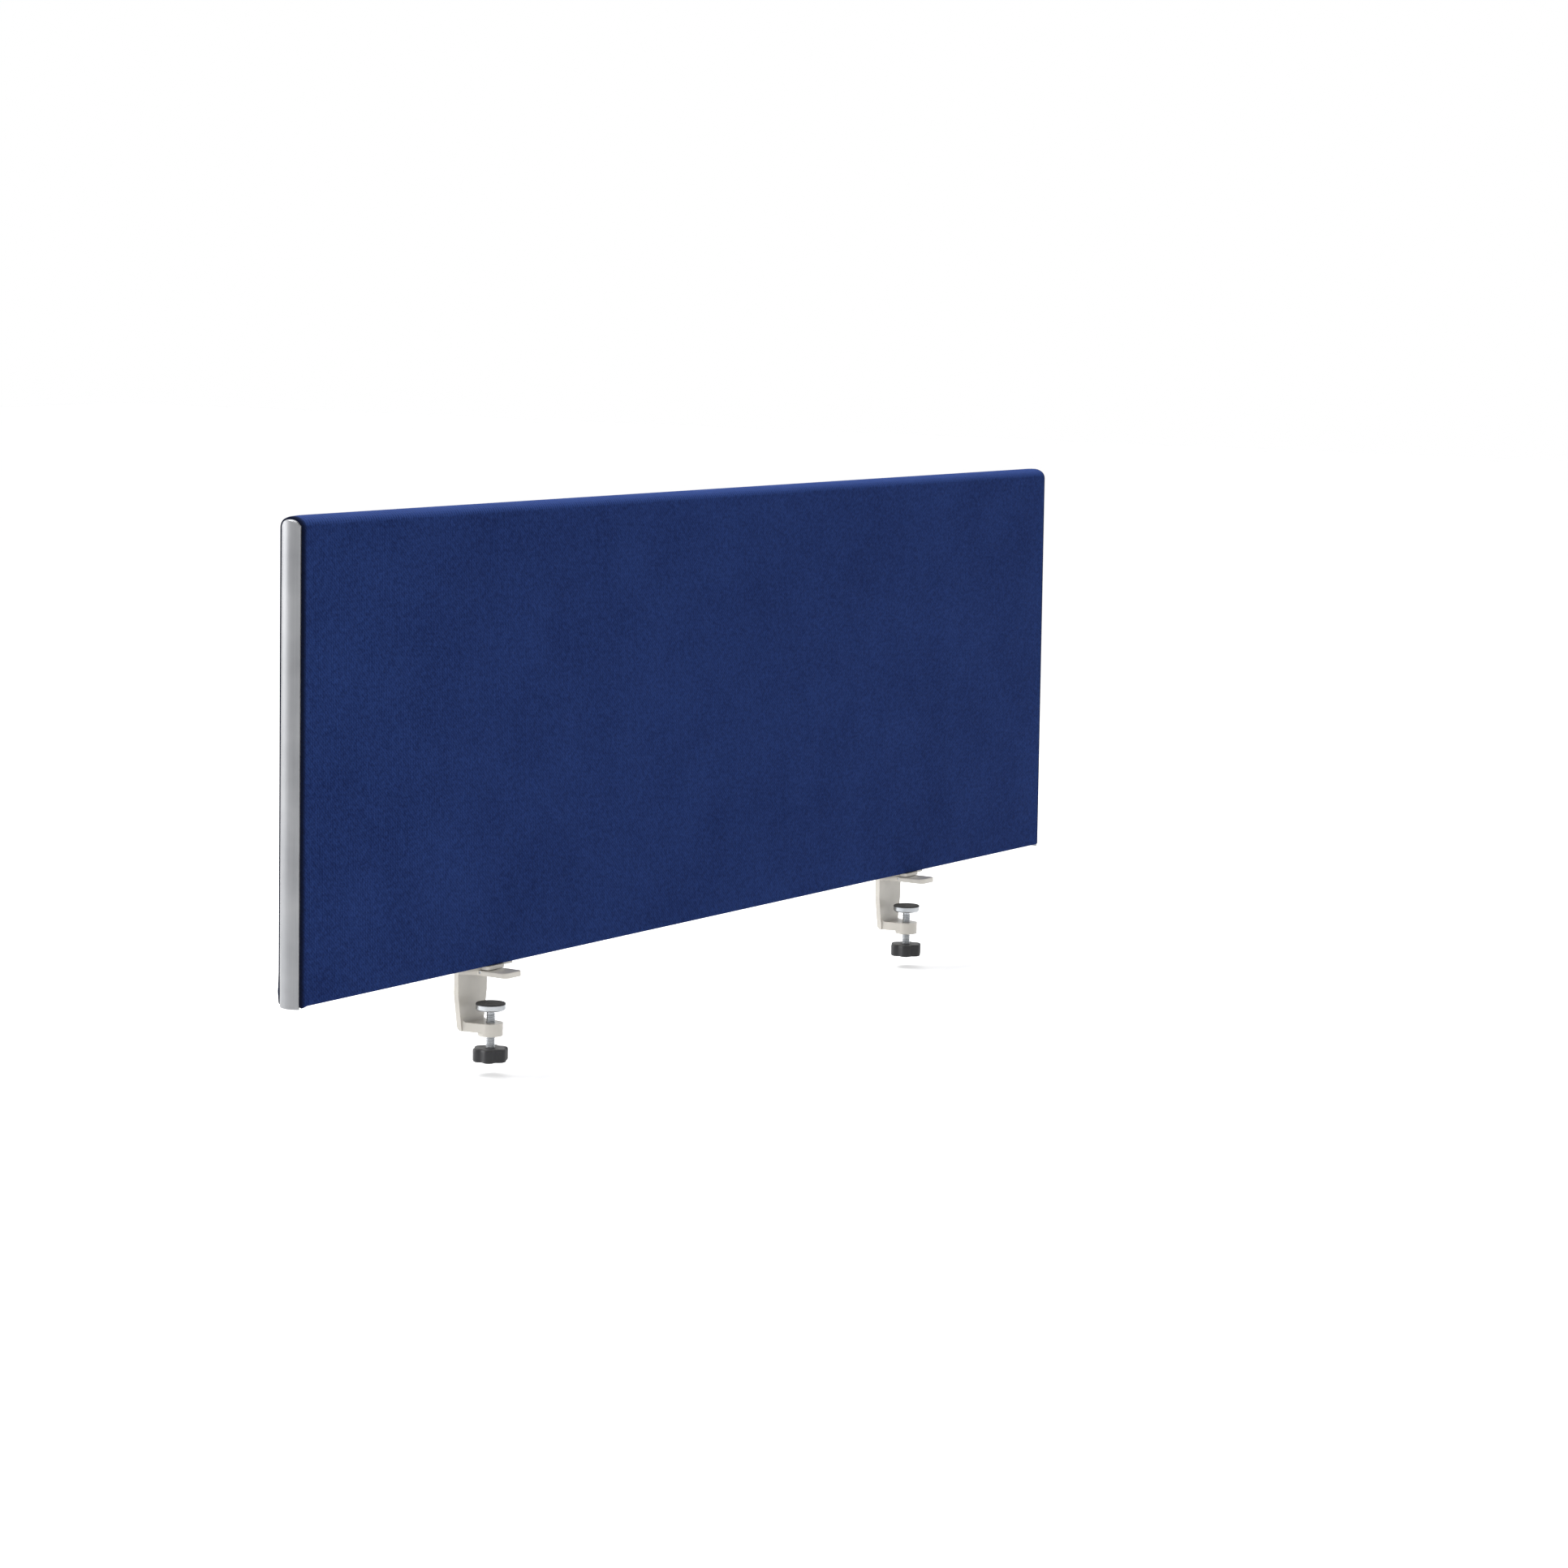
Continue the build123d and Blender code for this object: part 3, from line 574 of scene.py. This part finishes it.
FINISH["wadding"], tree, shader, where = new_finish(
    "soft wadding", Sheen_Weight=0.4, Sheen_Roughness=0.6
)
fluff = patches(tree, where, 260.0, 6.0)
grain = use(tree, GRAIN, Where=where, Grains=1800.0)
shade = band(tree, fluff, 0.35, 0.65)
colour = colours(tree, shade, paint(214, 213, 208), paint(240, 240, 236))
height = weighted(tree, fluff, (grain["Height"], 0.4))
dress(tree, shader, colour, band(tree, fluff, 0.3, 0.7, 0.85, 1.0), height, 0.8 * MM)
print(len(FINISH), "finishes:", ", ".join(sorted(FINISH)))

# %% [markdown]
# ## From points to a piece
#
# A mesh is a list of points and a list of faces.  A surface that can be combed
# flat, such as cloth or a turned part, is easiest as a grid: rows of points and
# the four-sided faces between them.  One helper makes the faces, one makes the
# object, and both are used for every piece below.

# %% Mesh helpers


def grid_faces(rows, columns, rows_join=False, columns_join=False):
    """Four-sided faces of a grid whose points are stored row by row."""
    faces = []
    for row in range(rows if rows_join else rows - 1):
        for column in range(columns if columns_join else columns - 1):
            next_row, next_column = (row + 1) % rows, (column + 1) % columns
            faces.append((
                row * columns + column,
                row * columns + next_column,
                next_row * columns + next_column,
                next_row * columns + column,
            ))
    return faces


def new_piece(name, slot, body, points, faces, sharp_from=40):
    """A mesh object with its finish, riding on a body of the frame."""
    mesh = bpy.data.meshes.new(name)
    mesh.from_pydata([tuple(point) for point in points], [], faces)
    mesh.validate()
    mesh.shade_smooth()
    mesh.set_sharp_from_angle(angle=math.radians(sharp_from))
    mesh.materials.append(FINISH[slot])
    piece = bpy.data.objects.new(name, mesh)
    bpy.context.scene.collection.objects.link(piece)
    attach(piece, body)
    print(name, len(points), "points,", len(faces), "faces")
    return piece


def ease(value):
    """0 to 1 with a soft start and a soft end."""
    value = np.clip(value, 0, 1)
    return value * value * (3 - 2 * value)


# %% [markdown]
# ## The cloth cover
#
# One piece of cloth goes up the front, over the arched top and down the back.
# Its two long edges meet underneath and are stapled, and its ends are folded on
# to the frame's ends, under the trims.  A cloth simulation would show little on
# a cover that is pulled this tight, so the shape is built from what the cloth
# rests on: the section is computed for any depth below the surface, which gives
# the faces, the folds at the ends and the wadding below from one function.

# %% The section of the cover
SEAM = 1.0 * MM                             # gap between the cloth's long edges
CORNER = 2.5 * MM                           # softness of the bottom corners
CREST = 4.0 * MM                            # softness where the arch begins
SHARPEST = 0.4 * MM                         # a corner deep below keeps this much
BASE_STEPS, CORNER_STEPS = 4, 6             # points on each stretch, seam to top
FACE_STEPS, CREST_STEPS, ARCH_STEPS = 48, 8, 9


def bend(before, corner, after, steps):
    """Points of a soft bend from before to after that leans on the corner."""
    share = np.linspace(0, 1, steps, endpoint=False)[:, None]
    before, corner, after = (np.array(point) for point in (before, corner, after))
    return (1 - share) ** 2 * before + 2 * share * (1 - share) * corner + share**2 * after


def stretch(start, end, steps):
    """Evenly spaced points from start up to, but without, end."""
    share = np.linspace(0, 1, steps, endpoint=False)[:, None]
    return (1 - share) * np.array(start) + share * np.array(end)


def section(depth):
    """(y, z) round the cover, seam to seam, at a depth below its surface."""
    half, radius = HALF - depth, DOME - depth
    low, centre = BOTTOM + depth, TOP - DOME
    lean = math.asin(half / radius)
    shoulder = centre + radius * math.cos(lean)
    corner, crest = max(CORNER - depth, SHARPEST), CREST * radius / DOME
    start = lean - crest / radius           # the arch is untouched from here up
    on_arch = (-radius * math.sin(start), centre + radius * math.cos(start))
    angles = np.linspace(start, 0, ARCH_STEPS)
    front = np.concatenate([
        stretch((-SEAM / 2, low), (-half + corner, low), BASE_STEPS),
        bend((-half + corner, low), (-half, low), (-half, low + corner), CORNER_STEPS),
        stretch((-half, low + corner), (-half, shoulder - crest), FACE_STEPS),
        bend((-half, shoulder - crest), (-half, shoulder), on_arch, CREST_STEPS),
        np.stack([-radius * np.sin(angles), centre + radius * np.cos(angles)], 1),
    ])
    back = front[-2::-1] * (-1, 1)
    return np.concatenate([front, back]) + (MIDDLE, 0)


outline = section(0)

# %% How the cloth settles
DROOP = 0.5 * MM                            # the arch sinks this much at each end
DROOP_LENGTH = 16 * MM
HEM = 0.6 * MM                              # the folded hem stands out behind
PILLOW = 0.35 * MM                          # the wadding pushes the faces out
LOOSE = 0.12 * MM                           # slow waves left in the cloth
CALM_END, CALM_EDGE = 60 * MM, 40 * MM      # both fade out this near an edge
FOLD, TUCK = 1.2 * MM, 0.9 * MM             # two folds at the left bottom corner


def hill(distance, width):
    """A soft hill, 1 in the middle and gone past about two widths."""
    return np.exp(-((distance / width) ** 2))


def mound(x, z, along, up, length, height):
    """A soft mound at a place along and up from the left bottom corner."""
    return hill(x + END - along, length) * hill(z - BOTTOM - up, height)


def settle(points):
    """Move the points of the ideal cover to where real cloth comes to rest."""
    x, y, z = points.T.copy()
    side = (y - MIDDLE) / HALF
    near_end = ease((np.abs(x) - (END - DROOP_LENGTH)) / DROOP_LENGTH)
    near_top = ease((z - (TOP - 2 * DROOP_LENGTH)) / (2 * DROOP_LENGTH))
    away = ease((END - np.abs(x)) / CALM_END) * ease((z - BOTTOM) / CALM_EDGE)
    away = away * ease((TOP - z) / CALM_EDGE)
    # crossed waves 10 and 13 cm long, each bent by a slower one
    waves = np.sin(x * 61 + 1.3 * np.sin(z * 23)) * np.sin(z * 47 + 0.8 * np.sin(x * 17))
    y = y + side * away * (PILLOW + LOOSE * waves)
    z = z - DROOP * near_end**2 * near_top
    behind = ease((side - 0.5) * 4)
    y = y + HEM * near_end**2 * behind
    # a thicker fold hangs below the cover in front, at the corner
    fold = mound(x, z, along=3 * MM, up=0, length=2.6 * MM, height=3 * MM)
    z = z - FOLD * fold * (side < -0.7)
    # and another stands out behind, just above the corner
    tuck = mound(x, z, along=1 * MM, up=12.5 * MM, length=5 * MM, height=6 * MM)
    y = y + TUCK * tuck * (side > 0.3)
    return np.stack([x, y, z], 1)


# %% The cover: a grid of sections, folded round both ends
FRONT_FOLD = 2.2 * MM                       # roundness of the folds at the ends
BACK_FOLD = 1.2 * MM
LIP = 8.0 * MM                              # cloth turned in on to each end
CLOTH = 0.8 * MM                            # its thickness
LIP_STEPS, FOLD_STEPS = 4, 8                # columns of points on each of these
WIDENING = (5, 7.5, 11, 15, 20, 26, 33, 41, 50)     # columns, mm from the end
PLAIN = END - 60 * MM                       # from here in they stand evenly,
PLAIN_COLUMNS = 108                         # one to each centimetre


def columns_with(fold):
    """(x, depth) of each column of points, lip to lip, for one roundness."""
    lip = np.linspace(LIP, fold, LIP_STEPS, endpoint=False)
    end = [(END, depth) for depth in lip]
    for angle in np.linspace(math.pi / 2, 0, FOLD_STEPS):
        end.append((END - fold + fold * math.sin(angle), fold - fold * math.cos(angle)))
    end += [(END - step * MM, 0.0) for step in WIDENING]
    plain = [(x, 0.0) for x in np.linspace(PLAIN, -PLAIN, PLAIN_COLUMNS)]
    return end + plain + [(-x, depth) for x, depth in reversed(end)]


# the folds are rounder in front than behind, and change over in between
to_back = ease((outline[:, :1] - MIDDLE + HALF / 2) / HALF)
points = []
for front, back in zip(columns_with(FRONT_FOLD), columns_with(BACK_FOLD)):
    (x_front, depth_front), (x_back, depth_back) = front, back
    x = (1 - to_back) * x_front + to_back * x_back
    shape = (1 - to_back) * section(depth_front) + to_back * section(depth_back)
    points.append(np.hstack([x, shape]))
columns = len(points)
points = np.concatenate(points)
cloth = new_piece(
    "cloth_cover", "blue_cloth", "panel",
    settle(points), grid_faces(columns, len(outline)), sharp_from=60,
)
thickness = cloth.modifiers.new("cloth thickness", "SOLIDIFY")
thickness.thickness = CLOTH
thickness.offset = -1
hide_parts("fabric_cover")

# %% [markdown]
# ## The wadding
#
# Under the cloth lies a thin sheet of wadding, folded over the core like a
# hairpin and open underneath.  It could be a solid block, but a hairpin is what
# is there, and the cover's section gives both of its surfaces: one just under
# the cloth, one on the core.

# %% The wadding
WADDING_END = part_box("foam_wrap")[1].x
AIR = 0.05 * MM                             # between the cloth and the wadding
CORE_DEPTH = 2.75 * MM                      # from the cloth's face to the core
SKIP = BASE_STEPS + CORNER_STEPS            # points under the core, left open
STATIONS = 120                              # rings of points, end to end
outside = section(CLOTH + AIR)[SKIP:-SKIP]
inside = section(CORE_DEPTH)[SKIP:-SKIP][::-1]
loop = np.concatenate([outside, inside])
stations = np.linspace(WADDING_END, -WADDING_END, STATIONS)
layers = []
for x in stations:
    ring = np.column_stack([np.full(len(loop), x), loop])
    ring[: len(outside)] = settle(ring)[: len(outside)]
    layers.append(ring)
points = np.concatenate(layers)
faces = grid_faces(STATIONS, len(loop), columns_join=True)
last = STATIONS - 1
for step in range(len(outside) - 1):
    mate = len(loop) - 1 - step
    cap = (step, mate, mate - 1, step + 1)
    faces.append(cap[::-1])
    faces.append(tuple(last * len(loop) + index for index in cap))
wadding = new_piece("wadding_wrap", "wadding", "panel", points, faces, sharp_from=60)
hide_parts("foam_wrap")

# %% [markdown]
# ## Turned and threaded parts
#
# The clamp screw is an M8 screw.  CAD keeps it a plain bar, because a helix is
# slow to check, so its thread is cut here: a ridge with a V-shaped section that
# climbs 1.25 mm each turn round a plain core.  The core and its spigot are
# turned shapes: a short outline spun round the axis.

# %% Spin an outline round an upright axis


def spin(outline, steps, centre):
    """Points and faces of a turned part; outline is (radius, z) pairs."""
    angles = np.linspace(0, CIRCLE, steps, endpoint=False)
    ring = np.stack([np.cos(angles), np.sin(angles)], 1)
    points = np.concatenate([
        np.column_stack([ring * radius + centre, np.full(steps, z)])
        for radius, z in outline
    ])
    faces = grid_faces(len(outline), steps, columns_join=True)
    faces.append(tuple(reversed(range(steps))))
    faces.append(tuple(range(len(points) - steps, len(points))))
    return points, faces


# %% The thread's ridge
PITCH = 1.25 * MM
ROOT = 3.25 * MM                            # radius at the bottom of the thread
CROWN = 3.98 * MM                           # radius over the thread
SUNK = 0.15 * MM                            # the ridge is let into the core
FOOT, EDGE = 0.46, 0.07                     # half widths of the V, in pitches
FADE = 0.75                                 # turns in which the ridge dies away
STEPS = 28                                  # points in one turn


def ridge(low, high, centre):
    """A V-shaped ridge that climbs from low to high and fades at both ends."""
    count = int((high - low) / PITCH * STEPS)
    step = np.arange(count + 1)
    angle = step / STEPS * CIRCLE
    z = low + step / STEPS * PITCH
    fade = ease(np.minimum(step, count - step) / (STEPS * FADE))
    crown = ROOT + (CROWN - ROOT) * fade
    buried = np.full(count + 1, ROOT - SUNK)
    profile = [(buried, -FOOT), (crown, -EDGE), (crown, EDGE), (buried, FOOT)]
    points = np.stack([
        np.column_stack([
            radius * np.cos(angle) + centre[0],
            radius * np.sin(angle) + centre[1],
            z + share * PITCH,
        ])
        for radius, share in profile
    ], 1).reshape(-1, 3)
    faces = grid_faces(count + 1, len(profile), columns_join=True)
    faces = [face[::-1] for face in faces]
    faces.append((0, 1, 2, 3))
    faces.append(tuple(4 * count + index for index in (3, 2, 1, 0)))
    return points, faces


# %% The two clamp screws
SPIGOT = 2.5 * MM                           # radius of the pin inside the pad
COLLAR = 0.8 * MM                           # plain end of the screw, under the pad
COLLAR_RADIUS = ROOT + 0.35 * MM
ROOM = 0.05 * MM                            # between the collar and the pad
FOOT_BEVEL, COLLAR_BEVEL, TIP_BEVEL = 0.4 * MM, 0.1 * MM, 0.3 * MM
AROUND_SCREW = 48                           # points round a turned part
for side in ("left", "right"):
    low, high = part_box(f"{side}_clamp_screw")
    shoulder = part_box(f"{side}_pressure_pad")[0].z - ROOM
    centre = ((low.x + high.x) / 2, (low.y + high.y) / 2)
    core = [
        (ROOT - FOOT_BEVEL, low.z), (ROOT, low.z + FOOT_BEVEL),
        (ROOT, shoulder - COLLAR), (COLLAR_RADIUS, shoulder - COLLAR + COLLAR_BEVEL),
        (COLLAR_RADIUS, shoulder - COLLAR_BEVEL), (COLLAR_RADIUS - COLLAR_BEVEL, shoulder),
        (SPIGOT, shoulder), (SPIGOT, high.z - TIP_BEVEL), (SPIGOT - TIP_BEVEL, high.z),
    ]
    points, faces = spin(core, AROUND_SCREW, centre)
    more_points, more_faces = ridge(low.z + PITCH, shoulder - COLLAR - PITCH, centre)
    shifted = [tuple(index + len(points) for index in face) for face in more_faces]
    screw = new_piece(
        f"{side}_threaded_screw", "zinc_steel", f"{side}_screw",
        np.concatenate([points, more_points]), faces + shifted, sharp_from=35,
    )
    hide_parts(f"{side}_clamp_screw")

# %% [markdown]
# ## The hand knobs
#
# A moulded knob has soft lobes for the fingers, a rounded rim and a shallow
# dish with a raised button underneath, where the mould was gated.  Its outline
# is a circle with six hollows.  Each ring of the mesh is that outline drawn in
# by some depth, and towards the middle the hollows fade to plain circles.

# %% The knob's outline and rings
LOBES = 6
HOLLOW = 2.7 * MM                           # depth between two lobes
NARROWING = 1.6                             # above 1, hollows are narrower than lobes
AROUND = 144                                # points round the knob


def lobed(radius, angles, hollow):
    """Distance from the axis: a circle with a hollow between its lobes."""
    wave = (1 + np.cos(LOBES * angles)) / 2
    return radius - hollow * wave**NARROWING


def knob_rings(radius, low, high):
    """(outer radius, hollow, z) of each ring, from the bottom centre up."""
    tall = high - low
    # dish and hub: radius and distance from the end; rim: both measured inwards
    dish = [(2.2, 0.4), (3.6, 0.4), (4.2, 0.9), (8.6, 1.1), (9.4, 0.3), (10.2, 0.0)]
    rings = [(r * MM, 0.0, low + z * MM) for r, z in dish]
    rim = [(2.2, 0.05), (1.0, 0.25), (0.35, 0.75), (0.0, 1.6)]
    rings += [(radius - r * MM, HOLLOW, low + z * MM) for r, z in rim]
    rings += [(radius, HOLLOW, low + tall * share) for share in (0.35, 0.5, 0.65)]
    rings += [(radius - r * MM, HOLLOW, high - z * MM) for r, z in reversed(rim)]
    hub = [(9.0, 0.0), (8.2, 0.25), (6.4, 0.3), (5.6, 0.0), (4.05, 0.0), (4.02, 2.0)]
    rings += [(r * MM, 0.0, high - z * MM) for r, z in hub]
    return rings


# %% The two knobs
for side in ("left", "right"):
    low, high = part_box(f"{side}_knob")
    centre = ((low.x + high.x) / 2, (low.y + high.y) / 2)
    angles = np.linspace(0, CIRCLE, AROUND, endpoint=False)
    radius = (high.y - low.y) / 2
    rings = knob_rings(radius, low.z, high.z)
    points = np.concatenate([
        np.column_stack([
            centre[0] + lobed(outer, angles, hollow) * np.cos(angles),
            centre[1] + lobed(outer, angles, hollow) * np.sin(angles),
            np.full(AROUND, z),
        ])
        for outer, hollow, z in rings
    ])
    faces = grid_faces(len(rings), AROUND, columns_join=True)
    faces.append(tuple(reversed(range(AROUND))))
    faces.append(tuple(range(len(points) - AROUND, len(points))))
    knob = new_piece(
        f"{side}_lobed_knob", "black_plastic", f"{side}_screw", points, faces,
        sharp_from=50,
    )
    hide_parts(f"{side}_knob")

# %% [markdown]
# ## Finishes for the CAD parts
#
# The trims, clamps, plates, pads, screws and the wooden core already have their
# true shape, so they stay, and each gets the finish that the record names for
# it.  The record is a list of nodes and material slots, so one loop does it.

# %% Give each CAD part its finish
for part in frame["record"]["subparts"]:
    data = frame["nodes"][part["node"]].data
    finish = FINISH[part["material_slot"]]
    if not data.materials:
        data.materials.append(finish)
    for index in range(len(data.materials)):
        data.materials[index] = finish
print(len(frame["nodes"]), "CAD parts finished")

# %% [markdown]
# ## Floor and light
#
# The object stands in plain white surroundings.  The floor lies just below the
# knobs' lowest place.  A bright sky gives an even base light, and a large soft
# lamp overhead brightens the arched top and leaves the faces calm.  A second
# large lamp stands behind, on the left, and a small weak one in front, also on
# the left, brightens the trim's face a little.

# %% The floor
BELOW = 12 * MM                             # under the knobs, which go down 10 mm
FLOOR = cad_box[0][2] - BELOW
FLOOR_HALF = 12.0                           # metres from the middle to an edge
floor_finish, tree, shader, where = new_finish(
    "pale floor", Specular_IOR_Level=0.1, Emission_Color=(1, 1, 1, 1), Emission_Strength=0.2
)
specks = patches(tree, where, 6.0, 4.0)
colour = colours(tree, specks, paint(229, 229, 229), paint(233, 233, 233))
dress(tree, shader, colour, band(tree, specks, 0, 1, 0.85, 0.95), specks, 0.1 * MM)
floor_mesh = bpy.data.meshes.new("floor")
corners = [(-1, -1), (1, -1), (1, 1), (-1, 1)]
floor_mesh.from_pydata(
    [(x * FLOOR_HALF, y * FLOOR_HALF, FLOOR) for x, y in corners], [], [(0, 1, 2, 3)]
)
floor_mesh.materials.append(floor_finish)
floor = bpy.data.objects.new("floor", floor_mesh)
bpy.context.scene.collection.objects.link(floor)
print("floor at", round(FLOOR, 4), "m")

# %% The sky and the lamps
sky = bpy.data.worlds.new("white room")
sky.use_nodes = True
sky.node_tree.nodes["Background"].inputs["Color"].default_value = (1, 1, 1, 1)
sky.node_tree.nodes["Background"].inputs["Strength"].default_value = 1.0
bpy.context.scene.world = sky
bpy.context.scene.view_settings.view_transform = "Standard"


def soft_lamp(name, place_at, aim_at, width, height, power):
    """A rectangular lamp that looks at a point."""
    light = bpy.data.lights.new(name, "AREA")
    light.shape = "RECTANGLE"
    light.size, light.size_y, light.energy = width, height, power
    lamp = bpy.data.objects.new(name, light)
    bpy.context.scene.collection.objects.link(lamp)
    aim = Vector(aim_at) - Vector(place_at)
    lamp.rotation_euler = aim.to_track_quat("-Z", "Y").to_euler()
    lamp.location = place_at
    print(name, power, "W")


soft_lamp("overhead_lamp", (0.0, 0.5, 1.9), (0, 0, 0.2), 2.4, 1.2, 60)
soft_lamp("rear_lamp", (-1.5, 2.3, 0.9), (-0.6, 0, 0.25), 2.2, 1.7, 52)
soft_lamp("front_lamp", (-2.5, -2.3, 0.9), (-0.6, 0, 0.25), 0.6, 0.9, 6)
